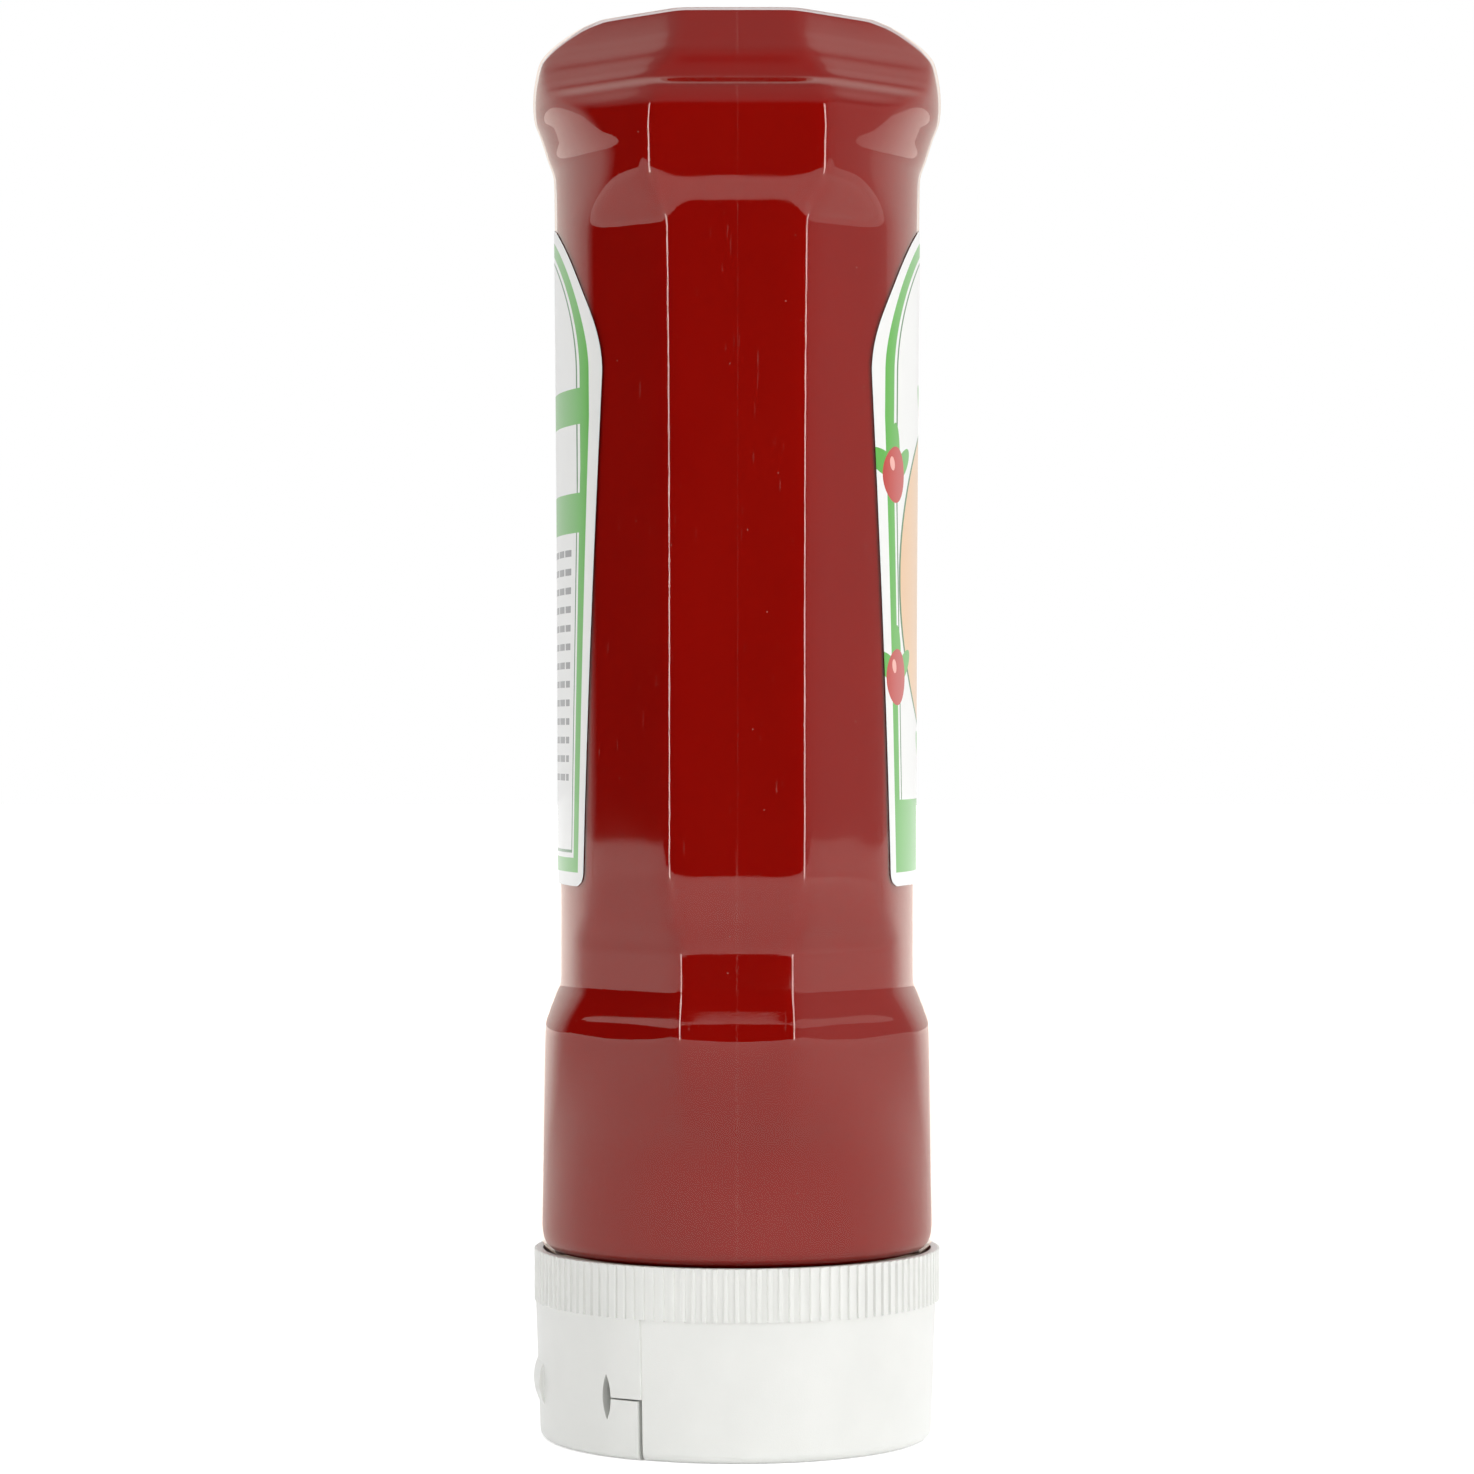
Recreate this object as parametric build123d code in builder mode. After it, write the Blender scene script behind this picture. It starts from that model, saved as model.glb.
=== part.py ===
"""Squeeze bottle of ketchup standing upside down on its shut flip-top cap.

Frame: millimetres, +Z up, origin on the floor under the middle of the cap.
+X is the front (wide, labelled) side, -X the back with the cap's hinge,
and the two narrow sides of the bottle face -Y and +Y.
"""
import os
from math import atan2, cos, degrees, dist, pi, sin, sqrt
from build123d import *

# ---- driving dimensions (mm) ------------------------------------------------
total_height = 200.0          # floor to the flat foot of the bottle

# bottle, plan sizes of its zones: front to back, side to side, narrow facet
panel_depth = 51.4
panel_width = 71.0
panel_facet = 18.6
waist_depth = 50.9
waist_width = 69.4
waist_facet = 15.4
head_depth = 58.2
head_width = 74.4
head_facet = 24.4
ring_diameter = 56.3          # round shoulder ring that meets the cap
flare_depth = 55.4            # top of the ring, where the octagon begins
flare_width = 70.2
flare_facet = 15.8
foot_depth = 42.0             # flat foot on top
foot_width = 51.2
foot_facet = 16.0
panel_bow = 60.0              # radius of the bowed front and back faces

# bottle, heights of its zones
shoulder_height = 26.4        # underside of the round ring
ring_straight = 9.0           # upright part of the ring
ring_height = 36.0            # whole ring, up to the waist
waist_height = 8.0            # hollow between ring and panel
head_height = 31.0            # from the crease over the panel to the foot
ledge_drop = 10.4             # from the foot down to the ledge of the narrow sides
riser_drop = 7.1              # from the foot down to the top of the small riser
wall = 0.8
foot_wall = 2.2
dish_depth = 1.1
dish_margin = 8.0
neck_diameter = 38.0
neck_wall = 1.4
neck_root = 3.0               # how far the neck runs up into the shoulder

# labels: arched top, sides that narrow downwards
label_thickness = 0.14
label_top_margin = -3.0       # from the crease down to the top of the arch
label_foot_margin = 8.6       # from the waist up to the foot of the label
label_foot_width = 44.0
label_shoulder_width = 53.0
label_arch = 22.0             # height of the arch over the shoulders
label_corner = 2.0

# cap
rim_height = 26.9
rim_radius = 28.6             # root of the knurl
rim_wall = 0.9
knurl_depth = 0.35
knurl_base = 1.0
knurl_crest = 0.45
knurl_count = 120
knurl_bottom = 19.6
skirt_top_radius = 28.4
skirt_foot_radius = 27.7
skirt_wall = 1.5
skirt_corner = 1.2
rear_step = 0.35              # the hinge side stands proud of the skirt
rear_half_angle = 61.0
deck_height = 13.5
deck_thickness = 1.5
sleeve_height = 6.0
sleeve_wall = 1.4
neck_clearance = 0.15

# lid
parting_height = 8.5
lid_clearance = 0.4
lid_plate = 1.6
slot_width = 0.55
parting_gap = 0.25            # open line between the slot and the hinge hole
hinge_hole_angle = 50.5       # of the lens-shaped hole, from -X
hinge_hole_width = 1.5
hinge_hole_height = 6.4
bulge_depth = 1.0
bulge_height = 7.0
bulge_half_angle = 16.0

section_steps = 6             # points along each side of a quarter section
edge_crispness = 70.0         # larger is a sharper edge between two facets


# ---- cross-sections of the bottle -------------------------------------------
# A station is (height, depth / 2, width / 2, facet / 2, roundness), where
# roundness 0 is the octagon and 1 is a circle.
def station(height, depth, width, facet, roundness=0.0):
    return height, depth / 2, width / 2, facet / 2, roundness


crease_height = total_height - head_height
flare_height = shoulder_height + ring_height
panel_height = flare_height + waist_height


def body_stations():
    top = total_height
    ring = ring_diameter
    straight = shoulder_height + ring_straight
    slope = flare_height - 4.0 - straight
    return [
        station(shoulder_height, ring - 3.9, ring - 3.9, 13.0, 1.0),
        station(shoulder_height + 0.35, ring - 2.4, ring - 2.4, 13.2, 1.0),
        station(shoulder_height + 1.0, ring - 1.1, ring - 1.1, 13.4, 1.0),
        station(shoulder_height + 2.0, ring - 0.3, ring - 0.3, 13.6, 1.0),
        station(shoulder_height + 3.4, ring, ring, 13.8, 1.0),
        station(straight, ring - 0.2, ring + 0.6, 14.0, 1.0),
        station(straight + 0.30 * slope, ring - 0.4, ring + 3.6, 14.4, 0.92),
        station(straight + 0.60 * slope, ring - 0.6, flare_width - 3.6, 14.9, 0.60),
        station(straight + 0.85 * slope, ring - 0.8, flare_width - 0.8, 15.4, 0.25),
        station(flare_height - 4.0, flare_depth - 0.1, flare_width, flare_facet, 0.08),
        station(flare_height - 1.8, flare_depth - 1.4, flare_width - 0.3, flare_facet),
        station(flare_height + 0.4, waist_depth + 1.4, waist_width + 0.5, waist_facet + 0.2),
        station(flare_height + 2.6, waist_depth, waist_width, waist_facet),
        station(panel_height, waist_depth, waist_width, waist_facet),
        station(panel_height + 4.5, waist_depth, panel_width - 0.6, panel_facet - 1.0),
        station(panel_height + 12.0, waist_depth + 0.1, panel_width, panel_facet),
        station(panel_height + 45.0, panel_depth - 0.2, panel_width, panel_facet),
        station(crease_height, panel_depth + 0.6, panel_width + 0.2, panel_facet + 0.6),
        station(crease_height + 7.5, panel_depth + 0.8, head_width - 1.3, head_facet - 0.2),
        station(top - 20.7, head_depth - 5.8, head_width - 0.6, head_facet),
        station(top - 17.8, head_depth - 4.0, head_width - 0.2, head_facet),
        station(top - 15.0, head_depth - 2.2, head_width, head_facet - 0.4),
        station(top - 12.1, head_depth - 0.2, head_width - 3.4, head_facet - 1.6),
        station(top - ledge_drop, head_depth, foot_width + 14.4, head_facet - 1.0),
        station(top - 8.9, head_depth - 0.1, foot_width + 13.0, head_facet - 3.0),
        station(top - riser_drop, head_depth - 0.6, foot_width + 12.0, head_facet - 5.8),
        station(top - 5.0, head_depth - 1.6, foot_width + 8.6, foot_facet + 1.4),
        station(top - 3.5, head_depth - 4.0, foot_width + 6.0, foot_facet + 0.6),
        station(top - 1.8, head_depth - 8.4, foot_width + 3.0, foot_facet + 0.2),
        station(top - 0.6, head_depth - 12.6, foot_width + 1.0, foot_facet),
        station(top, foot_depth, foot_width, foot_facet),
    ]


def side_reach(distance, direction, angle):
    """Where a ray from the axis meets a straight side standing off the axis."""
    along = cos(angle - direction)
    return distance / along if along > 1e-6 else 1e9


def bow_reach(distance, direction, angle):
    """Where the ray meets a side that is an arc of radius panel_bow."""
    centre = distance - panel_bow
    along = cos(angle - direction)
    across = sin(angle - direction)
    inside = panel_bow**2 - (centre * across) ** 2
    return centre * along + sqrt(inside) if inside > 0 else 1e9


def reach(angle, depth, width, facet, roundness):
    """Distance from the axis to the section in a direction.

    The nearest of the eight sides counts, and a power mean of all eight
    rounds the edges between them; roundness then blends towards an ellipse.
    """
    corner = (width + facet) / sqrt(2)
    reaches = [bow_reach(depth, 0, angle), bow_reach(depth, pi, angle)]
    reaches += [side_reach(width, k * pi, angle) for k in (0.5, -0.5)]
    reaches += [side_reach(corner, k * pi, angle) for k in (0.25, 0.75, -0.25, -0.75)]
    nearest = min(r for r in reaches if r > 0)
    crowd = sum((nearest / r) ** edge_crispness for r in reaches if r > 0)
    octagon = nearest * crowd ** (-1 / edge_crispness)
    oval = depth * width / sqrt((width * cos(angle)) ** 2 + (depth * sin(angle)) ** 2)
    return (1 - roundness) * octagon + roundness * oval


def edge_angles(depth, width, facet):
    """Directions of the two edges of a quarter section, from +X."""
    diagonal = width + facet
    shift = depth - panel_bow
    half = (shift + diagonal) / 2
    x_edge = half + sqrt(max(half**2 - (shift**2 + diagonal**2 - panel_bow**2) / 2, 0.0))
    bow_edge = atan2(max(diagonal - x_edge, 0.3 * width), x_edge)
    return bow_edge, atan2(width, facet)


def quarter_points(depth, width, facet, roundness):
    """Points from +X round to +Y, closer together where the sides meet."""
    bow_edge, facet_edge = edge_angles(depth, width, facet)
    points = []
    for start, end in ((0, bow_edge), (bow_edge, facet_edge), (facet_edge, pi / 2)):
        for step in range(section_steps):
            angle = start + (end - start) * (1 - cos(pi * step / section_steps)) / 2
            r = reach(angle, depth, width, facet, roundness)
            points.append((r * cos(angle), r * sin(angle)))
    points.append((0, reach(pi / 2, depth, width, facet, roundness)))
    return points


def ease(value):
    return min(max(value, 0.0), 1.0) ** 2


def inset_station(row, inset, lift, drop):
    """A station moved inwards by a wall, up at the shoulder and down at the foot."""
    height, depth, width, facet, roundness = row
    raised = lift * ease((shoulder_height + 3.0 - height) / 3.0)
    lowered = drop * ease((height - total_height + 12.0) / 12.0)
    narrower = facet - inset * (sqrt(2) - 1)
    return height + raised - lowered, depth - inset, width - inset, narrower, roundness


def spline_parameters():
    """One spacing for every section: lengths along a quarter of the panel."""
    points = quarter_points(panel_depth / 2, panel_width / 2, panel_facet / 2, 0.0)
    lengths = [0.0]
    for start, end in zip(points, points[1:]):
        lengths.append(lengths[-1] + dist(start, end))
    return lengths


def section_face(height, depth, width, facet, roundness):
    """A closed section of four matching curves, square to the axes where they join."""
    quarter = quarter_points(depth, width, facet, roundness)
    lengths = spline_parameters()
    with BuildSketch(Plane.XY.offset(height)) as section:
        with BuildLine():
            for x_side, y_side in ((1, 1), (-1, 1), (-1, -1), (1, -1)):
                points = [(x_side * x, y_side * y) for x, y in quarter]
                ends = [(0, y_side), (-x_side, 0)]
                add(Edge.make_spline(points, ends, parameters=lengths))
        make_face()
    return section.sketch


def radial_plane(angle):
    """Upright plane through the axis whose X points outwards at an angle."""
    outward = Vector(1, 0, 0).rotate(Axis.Z, angle)
    return Plane(origin=(0, 0, 0), x_dir=outward, z_dir=outward.cross(Vector(0, 0, 1)))


def wall_section(low, high, thickness, step=0.0, corner=0.0):
    """Section of the drafted skirt between two heights, standing step proud."""
    draft = (skirt_top_radius - skirt_foot_radius) / knurl_bottom
    low_radius = skirt_foot_radius + draft * low
    high_radius = skirt_foot_radius + draft * high
    inner = low_radius - thickness
    with BuildSketch() as profile:
        with BuildLine():
            Polyline(
                (inner, low),
                (low_radius + step, low),
                (high_radius + step, high),
                (inner, high),
                close=True,
            )
        make_face()
        if corner:
            fillet(profile.vertices().group_by(Axis.Y)[0].sort_by(Axis.X)[-1], corner)
    return profile.sketch


stations = body_stations()
deck_top = deck_height + deck_thickness
neck_radius = neck_diameter / 2

# ---- bottle and its filling -------------------------------------------------
with BuildPart() as outer_form:
    loft([section_face(*row) for row in stations], ruled=True)

with BuildPart() as ketchup:
    loft([section_face(*inset_station(row, wall, wall, foot_wall)) for row in stations], ruled=True)
    with BuildSketch(Plane.XY.offset(deck_top)):
        Circle(neck_radius - neck_wall)
    extrude(amount=shoulder_height + neck_root - deck_top)
ketchup.part.label = "ketchup"

with BuildPart() as bottle:
    add(outer_form.part)
    with BuildSketch(Plane.XY.offset(deck_top)):
        Circle(neck_radius)
    extrude(amount=shoulder_height + neck_root - deck_top)
    with BuildSketch(Plane.XY.offset(total_height)):
        Ellipse(foot_depth / 2 - dish_margin, foot_width / 2 - dish_margin)
    extrude(amount=-dish_depth, mode=Mode.SUBTRACT)
    add(ketchup.part, mode=Mode.SUBTRACT)
bottle.part.label = "bottle"

# ---- labels -----------------------------------------------------------------
label_foot = panel_height + label_foot_margin
label_top = crease_height - label_top_margin
label_shoulder = label_top - label_arch


def label_face():
    """Outline of a label seen from the front, on the upright middle plane."""
    with BuildSketch(Plane.YZ) as outline:
        with BuildLine():
            Polyline(
                (-label_shoulder_width / 2, label_shoulder),
                (-label_foot_width / 2, label_foot),
                (label_foot_width / 2, label_foot),
                (label_shoulder_width / 2, label_shoulder),
            )
            ThreePointArc(
                (label_shoulder_width / 2, label_shoulder),
                (0, label_top),
                (-label_shoulder_width / 2, label_shoulder),
            )
        make_face()
        fillet(outline.vertices(), label_corner)
    return outline.sketch


with BuildPart() as label_form:
    loft([section_face(*inset_station(row, -label_thickness, 0, 0)) for row in stations], ruled=True)

with BuildPart() as front_label:
    extrude(label_face(), amount=head_depth)
    add(label_form.part, mode=Mode.INTERSECT)
    add(outer_form.part, mode=Mode.SUBTRACT)
front_label.part.label = "front_label"

with BuildPart() as back_label:
    extrude(label_face(), amount=-head_depth)
    add(label_form.part, mode=Mode.INTERSECT)
    add(outer_form.part, mode=Mode.SUBTRACT)
back_label.part.label = "back_label"

# ---- cap --------------------------------------------------------------------
slot_angle = degrees(slot_width / skirt_foot_radius)
block_start = radial_plane(180 - rear_half_angle - slot_angle)
block_arc = 2 * (rear_half_angle + slot_angle)
skirt_inner = skirt_foot_radius - skirt_wall

with BuildPart() as hinge_bulge:
    surface = skirt_foot_radius + rear_step
    low = parting_height - bulge_height / 2
    high = parting_height + bulge_height / 2
    with BuildSketch(radial_plane(180 - bulge_half_angle)):
        with BuildLine():
            ThreePointArc((surface, low), (surface + bulge_depth, parting_height), (surface, high))
            Polyline((surface, high), (skirt_inner, high), (skirt_inner, low), (surface, low))
        make_face()
    revolve(axis=Axis.Z, revolution_arc=2 * bulge_half_angle)

with BuildPart() as hinge_holes:
    for side in (-1, 1):
        outward = Vector(-1, 0, 0).rotate(Axis.Z, side * hinge_hole_angle)
        hole_plane = Plane(
            origin=outward * skirt_foot_radius + Vector(0, 0, parting_height),
            x_dir=(0, 0, 1),
            z_dir=outward,
        )
        with BuildSketch(hole_plane):
            with BuildLine():
                tip = (hinge_hole_height / 2, 0)
                foot = (-hinge_hole_height / 2, 0)
                ThreePointArc(foot, (0, hinge_hole_width / 2), tip)
                ThreePointArc(tip, (0, -hinge_hole_width / 2), foot)
            make_face()
        extrude(amount=2 * skirt_wall, both=True)

with BuildPart() as cap:
    with BuildSketch(radial_plane(0)):
        add(wall_section(0, knurl_bottom, skirt_wall, corner=skirt_corner))
    revolve(axis=Axis.Z)
    with BuildSketch(block_start):
        with Locations((skirt_foot_radius, parting_height / 2)):
            Rectangle(4 * skirt_wall, parting_height)
    revolve(axis=Axis.Z, revolution_arc=block_arc, mode=Mode.SUBTRACT)
    with BuildSketch(block_start):
        add(wall_section(parting_height, knurl_bottom, skirt_wall, rear_step))
    revolve(axis=Axis.Z, revolution_arc=block_arc)
    add(hinge_bulge.part)
    with BuildSketch(radial_plane(180 - rear_half_angle)):
        with Locations((skirt_foot_radius, parting_height / 2)):
            Rectangle(8 * skirt_wall, parting_height)
    revolve(axis=Axis.Z, revolution_arc=2 * rear_half_angle, mode=Mode.SUBTRACT)
    with BuildSketch(Plane.XY.offset(knurl_bottom)):
        Circle(rim_radius)
        with PolarLocations(rim_radius, knurl_count):
            Polygon(
                (-knurl_depth, -knurl_base / 2),
                (knurl_depth, -knurl_crest / 2),
                (knurl_depth, knurl_crest / 2),
                (-knurl_depth, knurl_base / 2),
                align=None,
            )
        Circle(rim_radius - rim_wall, mode=Mode.SUBTRACT)
    extrude(amount=rim_height - knurl_bottom)
    with BuildSketch(Plane.XY.offset(deck_height)):
        Circle(skirt_top_radius - skirt_wall / 2)
    extrude(amount=deck_thickness)
    with BuildSketch(Plane.XY.offset(deck_top)):
        Circle(neck_radius + neck_clearance + sleeve_wall)
        Circle(neck_radius + neck_clearance, mode=Mode.SUBTRACT)
    extrude(amount=sleeve_height)
    add(hinge_holes.part, mode=Mode.SUBTRACT)
cap.part.label = "cap"

# ---- lid --------------------------------------------------------------------
with BuildPart() as lid:
    with BuildSketch():
        Circle(skirt_inner - lid_clearance)
    extrude(amount=lid_plate)
    with BuildSketch(radial_plane(180 - rear_half_angle)):
        add(wall_section(0, parting_height, 2 * skirt_wall, rear_step, skirt_corner))
    revolve(axis=Axis.Z, revolution_arc=2 * rear_half_angle)
    add(hinge_bulge.part)
    split(bisect_by=Plane.XY.offset(parting_height), keep=Keep.BOTTOM)
    for start in (180 - rear_half_angle, 180 + hinge_hole_angle):
        with BuildSketch(radial_plane(start)):
            with Locations((skirt_foot_radius, parting_height)):
                Rectangle(8 * skirt_wall, 2 * parting_gap)
        revolve(axis=Axis.Z, revolution_arc=rear_half_angle - hinge_hole_angle, mode=Mode.SUBTRACT)
    add(hinge_holes.part, mode=Mode.SUBTRACT)
lid.part.label = "lid"

# ---- files ------------------------------------------------------------------
os.makedirs("parts", exist_ok=True)
for piece in (bottle, ketchup, front_label, back_label, cap, lid):
    export_step(piece.part, f"parts/{piece.part.label}.step")
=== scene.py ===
"""Looks of a squeeze bottle of ketchup that stands on its flip-top cap.

Lengths are written in millimetres and go into the meshes through MM.
"""
from math import pi, radians, sqrt

import bpy
import numpy as np
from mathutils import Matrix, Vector


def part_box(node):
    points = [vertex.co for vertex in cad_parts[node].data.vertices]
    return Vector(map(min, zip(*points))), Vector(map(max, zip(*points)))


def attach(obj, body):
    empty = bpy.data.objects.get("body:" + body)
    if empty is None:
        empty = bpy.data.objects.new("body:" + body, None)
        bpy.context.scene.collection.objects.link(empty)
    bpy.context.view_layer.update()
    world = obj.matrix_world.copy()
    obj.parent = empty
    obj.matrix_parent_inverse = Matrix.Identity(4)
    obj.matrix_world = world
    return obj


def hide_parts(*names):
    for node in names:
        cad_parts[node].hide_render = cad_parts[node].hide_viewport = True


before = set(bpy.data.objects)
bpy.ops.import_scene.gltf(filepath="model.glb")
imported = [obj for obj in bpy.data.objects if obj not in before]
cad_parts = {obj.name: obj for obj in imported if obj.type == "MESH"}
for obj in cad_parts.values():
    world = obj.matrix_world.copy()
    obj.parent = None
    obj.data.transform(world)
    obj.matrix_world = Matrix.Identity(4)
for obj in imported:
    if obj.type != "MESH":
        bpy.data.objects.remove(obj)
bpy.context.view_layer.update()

MM = 0.001
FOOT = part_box("bottle")[1][2] / MM          # height of the flat foot
SHOULDER = FOOT - 173.6                     # underside of the round ring
FLARE = SHOULDER + 36.0
PANEL = FLARE + 8.0
CREASE = FOOT - 31.0
LABEL_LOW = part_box("front_label")[0][2] / MM
LABEL_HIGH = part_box("front_label")[1][2] / MM
LABEL_SHOULDER = LABEL_HIGH - 22.0
LABEL_FOOT_HALF = 22.0
LABEL_SHOULDER_HALF = 26.4
BOW = 60.0                                  # radius of the bowed faces
CRISPNESS = 55.0                            # larger is a sharper edge between two facets
SAUCE_DEPTH = 0.35                          # the sauce reaches this far into the wall
LABEL_PROUD = 0.10
FILM_IOR = 1.5

# height, half depth, half width, half facet, roundness (0 octagon, 1 round)
STATIONS = np.array([
    (SHOULDER, 26.2, 26.2, 6.5, 1.0),
    (SHOULDER + 0.35, 26.95, 26.95, 6.6, 1.0),
    (SHOULDER + 1.0, 27.6, 27.6, 6.7, 1.0),
    (SHOULDER + 2.0, 28.0, 28.0, 6.8, 1.0),
    (SHOULDER + 3.4, 28.15, 28.15, 6.9, 1.0),
    (SHOULDER + 9.0, 28.05, 28.45, 7.0, 1.0),
    (SHOULDER + 15.9, 27.95, 29.95, 7.2, 0.92),
    (SHOULDER + 22.8, 27.85, 33.3, 7.45, 0.60),
    (SHOULDER + 28.5, 27.75, 34.7, 7.7, 0.25),
    (FLARE - 4.0, 27.65, 35.1, 7.9, 0.08),
    (FLARE - 1.8, 27.0, 34.95, 7.9, 0.0),
    (FLARE + 0.4, 26.15, 34.95, 7.8, 0.0),
    (FLARE + 2.6, 25.45, 34.7, 7.7, 0.0),
    (PANEL, 25.45, 34.7, 7.7, 0.0),
    (PANEL + 4.5, 25.45, 35.2, 8.8, 0.0),
    (PANEL + 12.0, 25.5, 35.5, 9.3, 0.0),
    (PANEL + 45.0, 25.6, 35.5, 9.3, 0.0),
    (CREASE, 26.0, 35.6, 9.6, 0.0),
    (CREASE + 7.5, 26.1, 36.55, 12.1, 0.0),
    (FOOT - 20.7, 26.2, 36.9, 12.2, 0.0),
    (FOOT - 17.8, 27.1, 37.1, 12.2, 0.0),
    (FOOT - 15.0, 28.0, 37.2, 12.0, 0.0),
    (FOOT - 12.1, 29.0, 35.5, 11.4, 0.0),
    (FOOT - 10.4, 29.1, 32.8, 11.7, 0.0),
    (FOOT - 8.9, 29.05, 32.1, 10.7, 0.0),
    (FOOT - 7.1, 28.8, 31.6, 9.3, 0.0),
    (FOOT - 5.0, 28.3, 29.9, 8.7, 0.0),
    (FOOT - 3.5, 27.1, 28.6, 8.3, 0.0),
    (FOOT - 1.8, 24.9, 27.1, 8.1, 0.0),
    (FOOT - 0.6, 22.8, 26.1, 8.0, 0.0),
    (FOOT, 21.0, 25.6, 8.0, 0.0),
])


def stations_at(heights):
    """Monotone cubic through the stations: slopes are harmonic means, 0 at a turn."""
    keys, values = STATIONS[:, 0], STATIONS[:, 1:]
    gaps = np.diff(keys)[:, None]
    steps = np.diff(values, axis=0) / gaps
    same = steps[:-1] * steps[1:] > 0
    total = np.where(same, steps[:-1] + steps[1:], 1.0)
    slopes = np.vstack([steps[:1], np.where(same, 2 * steps[:-1] * steps[1:] / total, 0), steps[-1:]])
    index = np.clip(np.searchsorted(keys, heights) - 1, 0, len(keys) - 2)
    gap = gaps[index]
    t = ((heights - keys[index]) / gap[:, 0])[:, None]
    low, high = values[index], values[index + 1]
    bend = t * t * (3 - 2 * t)
    rise = gap * (t * (1 - t) ** 2 * slopes[index] - t * t * (1 - t) * slopes[index + 1])
    return (low + (high - low) * bend + rise).T


def reach(angle, depth, width, facet, roundness):
    """Radius of a section: the power mean of the rays to its eight sides.

    A straight side d away in direction q is met at d / cos(angle - q); a bowed
    side at (d - R) cos + sqrt(R^2 - ((d - R) sin)^2). One over the mean is the
    sum of the sides' inverse radii to the power CRISPNESS, and its root; the
    result blends by roundness into an ellipse.
    """
    corner = (width + facet) / sqrt(2)
    inverse = []
    for turn in (0.0, pi):
        centre = depth - BOW
        across = centre * np.sin(angle - turn)
        r = centre * np.cos(angle - turn) + np.sqrt(np.maximum(BOW**2 - across**2, 0))
        inverse.append(1 / r)
    for turn, distance in ((0.5, width), (1.5, width), *((k, corner) for k in (0.25, 0.75, 1.25, 1.75))):
        inverse.append(np.maximum(np.cos(angle - turn * pi), 1e-6) / distance)
    inverse = np.array(inverse)
    nearest = inverse.max(axis=0)
    octagon = 1 / (nearest * ((inverse / nearest) ** CRISPNESS).sum(axis=0) ** (1 / CRISPNESS))
    oval = depth * width / np.sqrt((width * np.cos(angle)) ** 2 + (depth * np.sin(angle)) ** 2)
    return (1 - roundness) * octagon + roundness * oval


def edge_angles(depth, width, facet):
    """Directions from +X of the bowed side's edge and the narrow facet's edge."""
    diagonal = width + facet
    shift = depth - BOW
    half = (shift + diagonal) / 2
    x = half + np.sqrt(np.maximum(half**2 - (shift**2 + diagonal**2 - BOW**2) / 2, 0))
    return np.arctan2(np.maximum(diagonal - x, 0.3 * width), x), np.arctan2(width, facet)


def ring_angles(depth, width, facet, steps):
    """Directions round a section, cosine-spaced so that they crowd at each edge."""
    bow, narrow = edge_angles(depth, width, facet)
    edges = [-bow, bow, narrow, pi - narrow, pi - bow, pi + bow, pi + narrow, 2 * pi - narrow, 2 * pi - bow]
    spread = (1 - np.cos(pi * np.arange(steps) / steps)) / 2
    sides = [a[:, None] + (b - a)[:, None] * spread for a, b in zip(edges, edges[1:])]
    return np.concatenate(sides, axis=1)


def grid_mesh(name, points, close=False, poles=None):
    """A mesh of quads on a grid of rows and columns, with a vertex at each pole."""
    rows, columns = points.shape[:2]
    index = np.arange(rows * columns).reshape(rows, columns)
    across = np.concatenate([index, index[:, :1]], axis=1) if close else index
    quads = np.stack([across[:-1, :-1], across[:-1, 1:], across[1:, 1:], across[1:, :-1]], axis=-1)
    vertices = points.reshape(-1, 3)
    faces = quads.reshape(-1, 4).tolist()
    if poles is not None:
        vertices = np.vstack([vertices, poles])
        low, high = rows * columns, rows * columns + 1
        faces += [(low, b, a) for a, b in zip(across[0], across[0][1:])]
        faces += [(high, a, b) for a, b in zip(across[-1], across[-1][1:])]
    mesh = bpy.data.meshes.new(name)
    mesh.from_pydata((vertices * MM).tolist(), [], faces)
    mesh.update()
    mesh.polygons.foreach_set("use_smooth", np.ones(len(mesh.polygons), dtype=bool))
    piece = bpy.data.objects.new(name, mesh)
    bpy.context.scene.collection.objects.link(piece)
    return piece


def body_surface(name, inset, steps=20):
    """The bottle's form moved inwards: rows of sections, then the dished foot.

    The foot's rows shrink from 1 to 0 of the last section and sink by a
    smooth step, 1.1 mm deep, between 0.72 and 0.6 of the section.
    """
    knots = STATIONS[:, 0]
    heights = np.unique(np.concatenate([np.linspace(a, b, 9) for a, b in zip(knots, knots[1:])]))
    depth, width, facet, roundness = stations_at(heights)
    angle = ring_angles(depth, width, facet, steps)
    sizes = (depth - inset, width - inset, facet - 0.41 * inset, roundness)
    r = reach(angle, *(size[:, None] for size in sizes))
    squeeze = 1 - inset / (FOOT - SHOULDER) * 2
    middle = (FOOT + SHOULDER) / 2
    z = middle + (heights - middle) * squeeze
    rings = np.stack([r * np.cos(angle), r * np.sin(angle), np.broadcast_to(z[:, None], r.shape)], axis=-1)
    shrink = np.linspace(0.97, 0.04, 24)[:, None, None]
    sink = np.clip((0.72 - shrink) / 0.12, 0, 1)
    foot = rings[-1][None] * shrink
    foot[..., 2] = z[-1] - (1.1 * sink * sink * (3 - 2 * sink))[..., 0]
    points = np.concatenate([rings, foot])
    poles = np.array([(0, 0, z[0]), (0, 0, foot[-1, 0, 2])])
    return grid_mesh(name, points, close=True, poles=poles)


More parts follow.
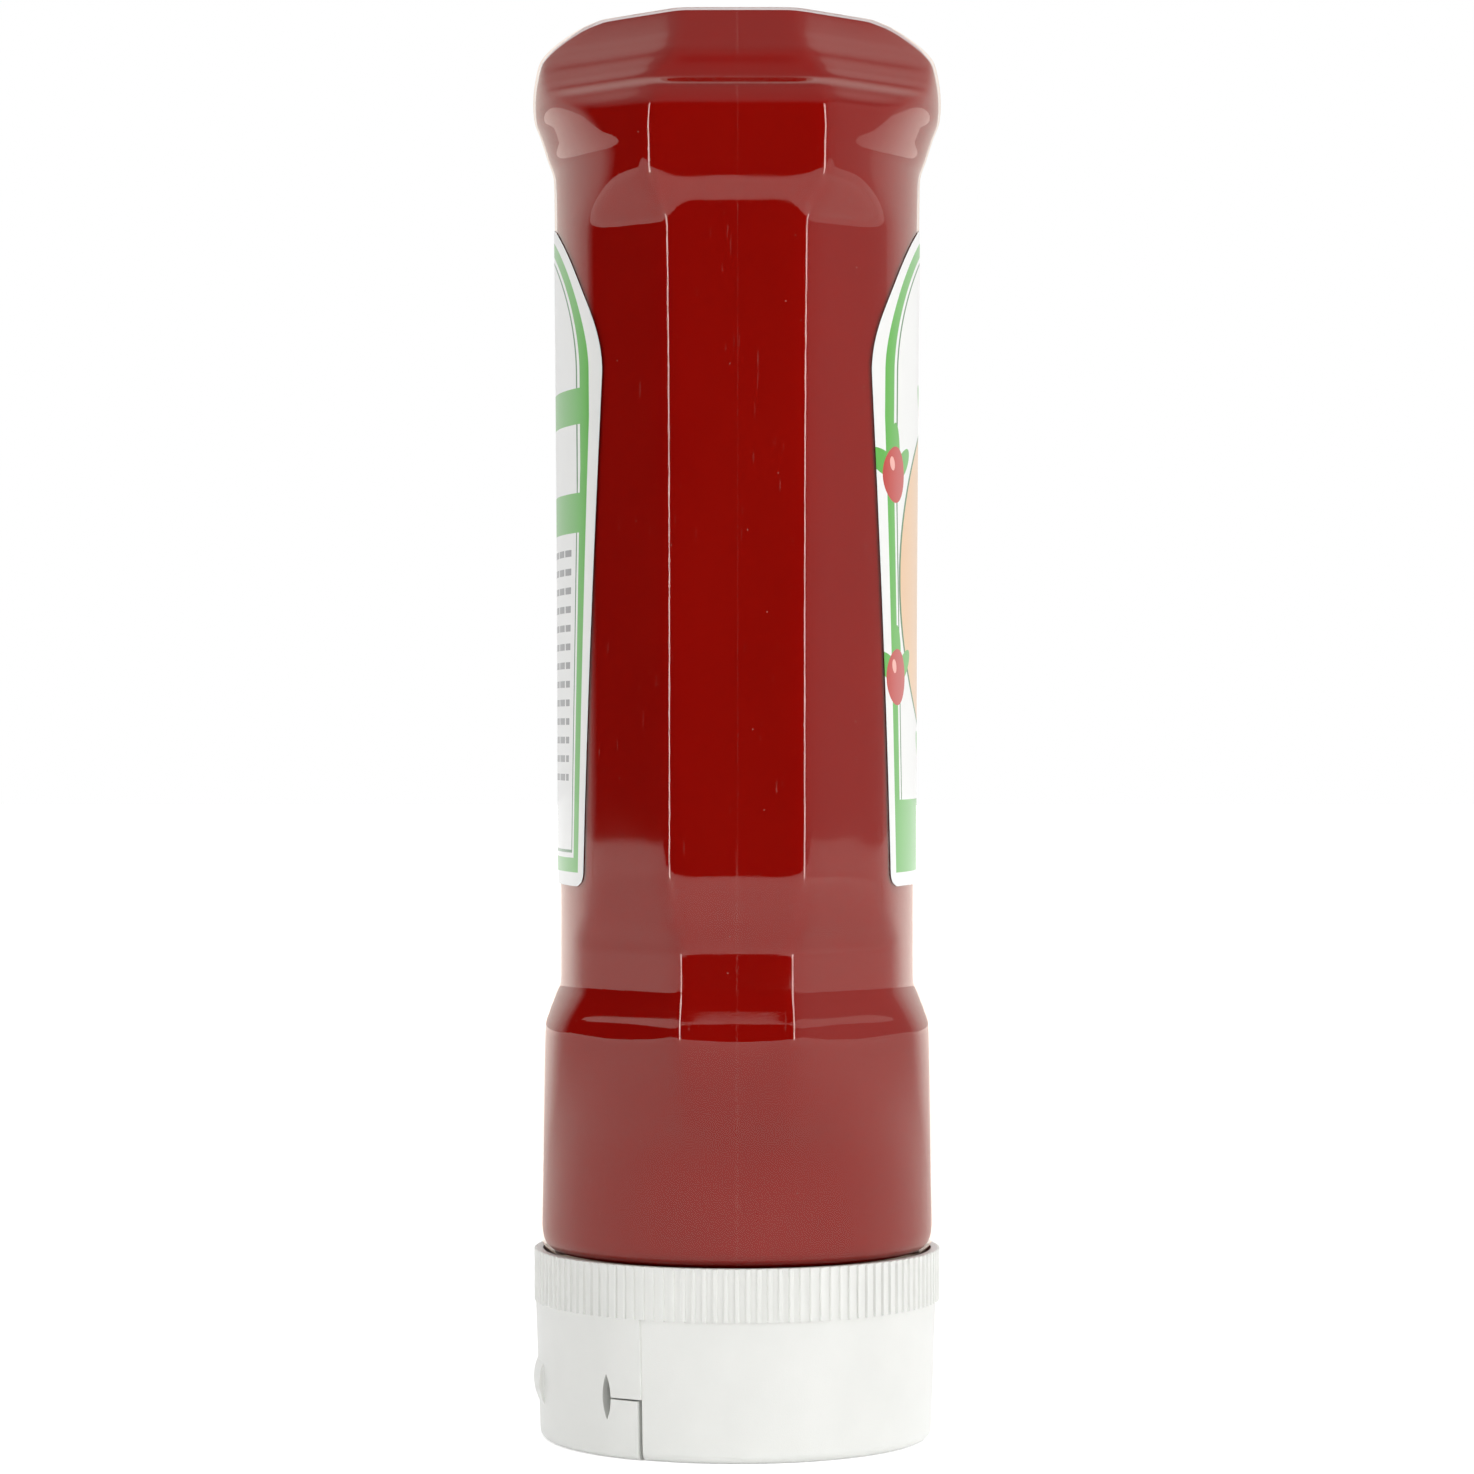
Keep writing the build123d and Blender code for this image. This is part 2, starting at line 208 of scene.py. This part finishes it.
def label_surface(name, side):
    """A film on the bowed face: each row runs between the angles that reach its half width."""
    v = np.linspace(0, 1, 160)
    z = LABEL_LOW + (LABEL_HIGH - LABEL_LOW) * v
    rise = np.clip((z - LABEL_SHOULDER) / (LABEL_HIGH - LABEL_SHOULDER), 0, 1)
    straight = np.clip((z - LABEL_LOW) / (LABEL_SHOULDER - LABEL_LOW), 0, 1)
    half = LABEL_FOOT_HALF + (LABEL_SHOULDER_HALF - LABEL_FOOT_HALF) * straight
    half = half * np.sqrt(np.maximum(1 - rise**2, 1e-4))
    corner = np.clip(1 - (z - LABEL_LOW) / 2.0, 0, 1)
    half = half - 2.0 * (1 - np.sqrt(1 - corner**2))
    depth, width, facet, roundness = (a[:, None] for a in stations_at(z))
    fine = np.linspace(0, radians(72), 500)[None, :]
    y_fine = reach(fine, depth, width, facet, roundness) * np.sin(fine)
    limit = np.array([np.interp(h, row, fine[0]) for h, row in zip(half, y_fine)])
    angle = limit[:, None] * np.linspace(-1, 1, 120)[None, :]
    r = reach(angle, depth + LABEL_PROUD, width + LABEL_PROUD, facet, roundness)
    heights = np.broadcast_to(z[:, None], r.shape)
    points = np.stack([side * r * np.cos(angle), side * r * np.sin(angle), heights], axis=-1)
    return grid_mesh(name, points)


# ---- materials --------------------------------------------------------------
class Nodes:
    """Short ways to make and join the nodes of one material."""

    def __init__(self, material):
        material.use_nodes = True
        self.tree = material.node_tree
        self.tree.nodes.clear()

    def add(self, kind, **values):
        node = self.tree.nodes.new(kind)
        for key, value in values.items():
            setattr(node, key, value)
        return node

    def link(self, source, target):
        self.tree.links.new(source, target)

    def feed(self, socket, value):
        if isinstance(value, bpy.types.NodeSocket):
            self.link(value, socket)
        else:
            socket.default_value = value

    def math(self, operation, a, b=0.0, c=0.0):
        node = self.add("ShaderNodeMath", operation=operation)
        for socket, value in zip(node.inputs, (a, b, c)):
            self.feed(socket, value)
        return node.outputs[0]

    def mix(self, mask, under, over):
        node = self.add("ShaderNodeMix", data_type="RGBA")
        self.feed(node.inputs[0], mask)
        self.feed(node.inputs[6], under)
        self.feed(node.inputs[7], over)
        return node.outputs[2]

    def place(self):
        """Object coordinates in millimetres."""
        where = self.add("ShaderNodeTexCoord").outputs["Object"]
        scale = self.add("ShaderNodeVectorMath", operation="SCALE")
        self.link(where, scale.inputs[0])
        scale.inputs["Scale"].default_value = 1 / MM
        return scale.outputs[0]

    def noise(self, vector, scale, detail=3.0):
        node = self.add("ShaderNodeTexNoise")
        self.link(vector, node.inputs["Vector"])
        node.inputs["Scale"].default_value = scale
        node.inputs["Detail"].default_value = detail
        return node.outputs["Fac"]

    def ramp(self, value, low, high, top):
        """A smooth step from 0 at low to top at high."""
        node = self.add("ShaderNodeMapRange", interpolation_type="SMOOTHSTEP")
        self.feed(node.inputs[0], value)
        for socket, number in zip(node.inputs[1:5], (low, high, 0.0, top)):
            socket.default_value = number
        return node.outputs[0]

    def bump(self, height, distance, strength=1.0):
        node = self.add("ShaderNodeBump")
        self.link(height, node.inputs["Height"])
        node.inputs["Distance"].default_value = distance
        node.inputs["Strength"].default_value = strength
        return node.outputs[0]

    def finish(self, shader):
        self.link(shader, self.add("ShaderNodeOutputMaterial").inputs[0])


def clear_plastic():
    """A thin clear film: light passes straight through, Fresnel gives the gloss.

    A mould seam runs down both narrow sides; handling has left fine upright
    scratches and small pale specks.
    """
    material = bpy.data.materials.new("clear_plastic")
    n = Nodes(material)
    place = n.place()
    split = n.add("ShaderNodeSeparateXYZ")
    n.link(place, split.inputs[0])
    seam = n.math("LESS_THAN", n.math("ABSOLUTE", split.outputs[0]), 0.11)
    wave = n.noise(place, 0.05, 1.0)
    height = n.math("ADD", n.math("MULTIPLY", seam, 0.03), n.math("MULTIPLY", wave, 0.12))
    normal = n.bump(height, MM)
    stretch = n.add("ShaderNodeMapping")
    stretch.inputs["Scale"].default_value = (2.6, 2.6, 0.22)
    n.link(place, stretch.inputs["Vector"])
    scratch = n.math("GREATER_THAN", n.noise(stretch.outputs[0], 1.0, 4.0), 0.70)
    patch = n.math("GREATER_THAN", n.noise(place, 0.09, 2.0), 0.52)
    scuff = n.math("MULTIPLY", scratch, patch)
    dots = n.add("ShaderNodeTexVoronoi")
    dots.inputs["Scale"].default_value = 0.30
    n.link(place, dots.inputs["Vector"])
    speck = n.math("LESS_THAN", dots.outputs["Distance"], 0.034)
    gloss = n.add("ShaderNodeBsdfGlossy")
    gloss.inputs["Color"].default_value = (1.0, 0.90, 0.82, 1)
    n.link(n.math("MULTIPLY_ADD", scuff, 0.22, 0.045), gloss.inputs["Roughness"])
    clear = n.add("ShaderNodeBsdfTransparent")
    fresnel = n.add("ShaderNodeFresnel")
    # the node turns the ratio over for light from inside, so it is handed over turned there
    inside = n.add("ShaderNodeNewGeometry").outputs["Backfacing"]
    n.link(n.math("MULTIPLY_ADD", inside, 1 / FILM_IOR - FILM_IOR, FILM_IOR), fresnel.inputs["IOR"])
    n.link(normal, gloss.inputs["Normal"])
    n.link(normal, fresnel.inputs["Normal"])
    mixed = n.add("ShaderNodeMixShader")
    n.link(fresnel.outputs[0], mixed.inputs[0])
    n.link(clear.outputs[0], mixed.inputs[1])
    n.link(gloss.outputs[0], mixed.inputs[2])
    dull = n.add("ShaderNodeBsdfDiffuse")
    dull.inputs["Color"].default_value = (0.55, 0.30, 0.26, 1)
    marked = n.add("ShaderNodeMixShader")
    marks = n.math("MAXIMUM", n.math("MULTIPLY", speck, 0.45), n.math("MULTIPLY", scuff, 0.07))
    n.link(marks, marked.inputs[0])
    n.link(mixed.outputs[0], marked.inputs[1])
    n.link(dull.outputs[0], marked.inputs[2])
    n.finish(marked.outputs[0])
    return material


def sauce_red():
    """Smooth sauce against the wall, a little uneven in depth of colour."""
    material = bpy.data.materials.new("ketchup")
    n = Nodes(material)
    uneven = n.noise(n.place(), 0.05, 2.0)
    shade = n.mix(uneven, (0.225, 0.0020, 0.0008, 1), (0.265, 0.0036, 0.0015, 1))
    body = n.add("ShaderNodeBsdfPrincipled")
    n.link(shade, body.inputs["Base Color"])
    body.inputs["Roughness"].default_value = 0.6
    body.inputs["Specular IOR Level"].default_value = 0.0
    n.finish(body.outputs[0])
    return material


def white_plastic():
    """Satin moulded plastic with a very fine grain."""
    material = bpy.data.materials.new("white_plastic")
    n = Nodes(material)
    place = n.place()
    shade = n.mix(n.noise(place, 0.15, 2.0), (0.80, 0.81, 0.78, 1), (0.86, 0.865, 0.835, 1))
    body = n.add("ShaderNodeBsdfPrincipled")
    n.link(shade, body.inputs["Base Color"])
    body.inputs["Roughness"].default_value = 0.38
    body.inputs["Subsurface Weight"].default_value = 0.15
    body.inputs["Subsurface Radius"].default_value = (0.002, 0.002, 0.002)
    n.link(n.bump(n.noise(place, 6.0, 2.0), 0.00002), body.inputs["Normal"])
    n.finish(body.outputs[0])
    return material


WHITE = (0.84, 0.84, 0.82, 1)
GREEN = (0.10, 0.42, 0.05, 1)
DARK_GREEN = (0.03, 0.17, 0.03, 1)
TAN = (0.78, 0.50, 0.28, 1)
TOMATO = (0.50, 0.035, 0.022, 1)
GREY = (0.22, 0.22, 0.22, 1)


def edge_distance(n, y, z):
    """Distance in from the label's edge: the least of foot, sides and arch."""
    lean = (LABEL_SHOULDER_HALF - LABEL_FOOT_HALF) / (LABEL_SHOULDER - LABEL_LOW)
    half = n.math("MULTIPLY_ADD", n.math("SUBTRACT", z, LABEL_LOW), lean, LABEL_FOOT_HALF)
    side = n.math("SUBTRACT", half, n.math("ABSOLUTE", y))
    foot = n.math("SUBTRACT", z, LABEL_LOW)
    rise = n.math("MAXIMUM", n.math("SUBTRACT", z, LABEL_SHOULDER), 0.0)
    up = n.math("DIVIDE", rise, LABEL_HIGH - LABEL_SHOULDER)
    out = n.math("DIVIDE", y, LABEL_SHOULDER_HALF)
    reached = n.math("SQRT", n.math("ADD", n.math("MULTIPLY", up, up), n.math("MULTIPLY", out, out)))
    arch = n.math("MULTIPLY", n.math("SUBTRACT", 1.0, reached), LABEL_HIGH - LABEL_SHOULDER)
    return n.math("MINIMUM", n.math("MINIMUM", side, foot), arch)


def between(n, value, low, high):
    return n.math("MULTIPLY", n.math("GREATER_THAN", value, low), n.math("LESS_THAN", value, high))


def oval(n, y, z, centre, radii, tilt=0.0):
    """Mask of an ellipse, turned by tilt."""
    dy = n.math("SUBTRACT", y, centre[0])
    dz = n.math("SUBTRACT", z, centre[1])
    c, s = float(np.cos(tilt)), float(np.sin(tilt))
    a = n.math("ADD", n.math("MULTIPLY", dy, c), n.math("MULTIPLY", dz, s))
    b = n.math("SUBTRACT", n.math("MULTIPLY", dz, c), n.math("MULTIPLY", dy, s))
    a = n.math("DIVIDE", a, radii[0])
    b = n.math("DIVIDE", b, radii[1])
    return n.math("LESS_THAN", n.math("ADD", n.math("MULTIPLY", a, a), n.math("MULTIPLY", b, b)), 1.0)


def label_base(name):
    material = bpy.data.materials.new(name)
    n = Nodes(material)
    place = n.place()
    split = n.add("ShaderNodeSeparateXYZ")
    n.link(place, split.inputs[0])
    y, z = split.outputs[1], split.outputs[2]
    edge = edge_distance(n, y, z)
    shade = n.mix(between(n, edge, 1.9, 3.9), WHITE, GREEN)
    shade = n.mix(between(n, edge, 4.6, 5.0), shade, DARK_GREEN)
    return material, n, y, z, edge, shade


def finish_label(n, shade):
    body = n.add("ShaderNodeBsdfPrincipled")
    n.link(shade, body.inputs["Base Color"])
    body.inputs["Roughness"].default_value = 0.32
    body.inputs["Coat Weight"].default_value = 0.25
    n.finish(body.outputs[0])


def front_print():
    """A tan oval over a green foot band, with a garland of tomatoes and leaves."""
    material, n, y, z, edge, shade = label_base("front_print")
    band = n.math("MULTIPLY", n.math("GREATER_THAN", edge, 1.9), n.math("LESS_THAN", z, LABEL_LOW + 12))
    shade = n.mix(band, shade, GREEN)
    shade = n.mix(oval(n, y, z, (0, 122), (19.5, 21)), shade, DARK_GREEN)
    shade = n.mix(oval(n, y, z, (0, 122), (18.8, 20.3)), shade, TAN)
    for cy, cz in ((-20, 108), (-21, 136), (20, 108), (21, 136), (0, 97), (0, 146)):
        for tilt in (0.5, 1.6, 2.7):
            leaf = (cy + 3 * np.cos(tilt), cz + 3 * np.sin(tilt))
            shade = n.mix(oval(n, y, z, leaf, (4.2, 1.6), tilt), shade, GREEN)
        shade = n.mix(oval(n, y, z, (cy, cz), (3.5, 3.9)), shade, TOMATO)
        shade = n.mix(oval(n, y, z, (cy - 1.1, cz + 1.5), (0.7, 1.0), 0.4), shade, (0.85, 0.42, 0.36, 1))
    finish_label(n, shade)
    return material


def back_print():
    """Rows of plain grey bars between two green bands, with a sprig of leaves."""
    material, n, y, z, edge, shade = label_base("back_print")
    bands = n.math("ADD", between(n, z, 143, 148), between(n, z, 128, 133.5))
    shade = n.mix(n.math("MULTIPLY", bands, n.math("GREATER_THAN", edge, 1.9)), shade, GREEN)
    rows = n.math("LESS_THAN", n.math("FRACT", n.math("DIVIDE", z, 2.6)), 0.36)
    words = n.math("GREATER_THAN", n.math("FRACT", n.math("MULTIPLY", y, 0.21)), 0.14)
    field = n.math("MULTIPLY", between(n, z, 92, 126), n.math("GREATER_THAN", edge, 7.0))
    lines = n.math("MULTIPLY", n.math("MULTIPLY", rows, words), field)
    shade = n.mix(lines, shade, GREY)
    for tilt in (0.4, 1.2, 2.0, 2.8):
        centre = (16 + 3.2 * np.cos(tilt), 137 + 2.6 * np.sin(tilt))
        shade = n.mix(oval(n, y, z, centre, (3.0, 1.1), tilt), shade, DARK_GREEN)
    finish_label(n, shade)
    return material


# ---- pieces -----------------------------------------------------------------
def place_piece(piece, node, material):
    piece.data.materials.append(material)
    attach(piece, "root")
    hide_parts(node)


place_piece(body_surface("bottle_wall", 0.0), "bottle", clear_plastic())
place_piece(body_surface("sauce", SAUCE_DEPTH), "ketchup", sauce_red())
place_piece(label_surface("front_film", 1), "front_label", front_print())
place_piece(label_surface("back_film", -1), "back_label", back_print())

moulded = white_plastic()
for name in ("cap", "lid"):
    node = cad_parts[name]
    for slot in node.material_slots:
        slot.material = moulded


# ---- studio -----------------------------------------------------------------
def floor():
    """A pale floor under the cap that ends a metre in front; its far part turns white."""
    mesh = bpy.data.meshes.new("floor")
    corners = [(-3.5, -1.0, -0.00002), (3.5, -1.0, -0.00002), (3.5, 6.0, -0.00002), (-3.5, 6.0, -0.00002)]
    mesh.from_pydata(corners, [], [(0, 1, 2, 3)])
    ground = bpy.data.objects.new("floor", mesh)
    bpy.context.scene.collection.objects.link(ground)
    material = bpy.data.materials.new("floor")
    n = Nodes(material)
    body = n.add("ShaderNodeBsdfDiffuse")
    body.inputs[0].default_value = (0.9, 0.9, 0.9, 1)
    away = n.add("ShaderNodeVectorMath", operation="LENGTH")
    n.link(n.place(), away.inputs[0])
    level = n.math("ADD", n.ramp(away.outputs["Value"], 200.0, 1500.0, 0.45), 0.55)
    path = n.add("ShaderNodeLightPath")
    seen = n.math("MAXIMUM", path.outputs["Is Camera Ray"], path.outputs["Is Glossy Ray"])
    glow = n.add("ShaderNodeEmission")
    n.link(n.math("MULTIPLY", seen, level), glow.inputs["Strength"])
    both = n.add("ShaderNodeAddShader")
    n.link(body.outputs[0], both.inputs[0])
    n.link(glow.outputs[0], both.inputs[1])
    n.finish(both.outputs[0])
    ground.data.materials.append(material)


def studio_world():
    """White to the eye; to the object, a dark front, a bright right, back and top."""
    world = bpy.data.worlds.new("studio")
    bpy.context.scene.world = world
    n = Nodes(world)
    split = n.add("ShaderNodeSeparateXYZ")
    n.link(n.add("ShaderNodeTexCoord").outputs["Generated"], split.inputs[0])

    right = n.ramp(split.outputs[0], 0.60, 0.92, 0.70)
    back = n.ramp(split.outputs[1], 0.20, 0.5, 0.9)
    above = n.ramp(split.outputs[2], 0.30, 0.8, 0.5)
    light = n.math("MAXIMUM", n.math("MAXIMUM", right, back), above)
    path = n.add("ShaderNodeLightPath")
    level = n.math("MAXIMUM", n.math("MAXIMUM", light, 0.02), path.outputs["Is Camera Ray"])
    sky = n.add("ShaderNodeBackground")
    sky.inputs["Color"].default_value = (1, 1, 1, 1)
    n.link(level, sky.inputs["Strength"])
    node = n.add("ShaderNodeOutputWorld")
    n.link(sky.outputs[0], node.inputs[0])


def soft_light(name, azimuth, height, distance, size, power, mirrored=True):
    """An area light that faces the middle of the bottle. Azimuth 0 is the camera's side."""
    spot = Vector((distance * np.sin(azimuth), -distance * np.cos(azimuth), height))
    data = bpy.data.lights.new(name, "AREA")
    data.shape = "RECTANGLE"
    data.size, data.size_y = size
    data.energy = power
    lamp = bpy.data.objects.new(name, data)
    lamp.location = spot
    lamp.visible_glossy = mirrored
    lamp.rotation_euler = (Vector((0, 0, 0.1)) - spot).to_track_quat("-Z", "Y").to_euler()
    bpy.context.scene.collection.objects.link(lamp)


def camera():
    """Level with the middle of the bottle, square to its narrow side."""
    data = bpy.data.cameras.new("camera")
    data.sensor_width = 36.0
    data.lens = 111.0
    data.clip_start = 0.01
    seer = bpy.data.objects.new("camera", data)
    seer.location = (0, -0.65, 0.0997)
    seer.rotation_euler = (pi / 2, 0, 0)
    bpy.context.scene.collection.objects.link(seer)
    bpy.context.scene.camera = seer


floor()
studio_world()
soft_light("left_strip", radians(-46), 0.16, 0.8, (0.11, 0.75), 2.8)
soft_light("right_strip", radians(46), 0.16, 0.8, (0.11, 0.75), 2.9)
soft_light("front_fill", radians(0), 0.5, 0.9, (0.5, 0.5), 1.1, mirrored=False)
soft_light("right_fill", radians(80), 0.3, 0.8, (0.5, 0.5), 1.0, mirrored=False)
soft_light("top_fill", radians(20), 1.1, 0.4, (0.6, 0.6), 1.6, mirrored=False)
camera()
bpy.context.scene.view_settings.view_transform = "Standard"
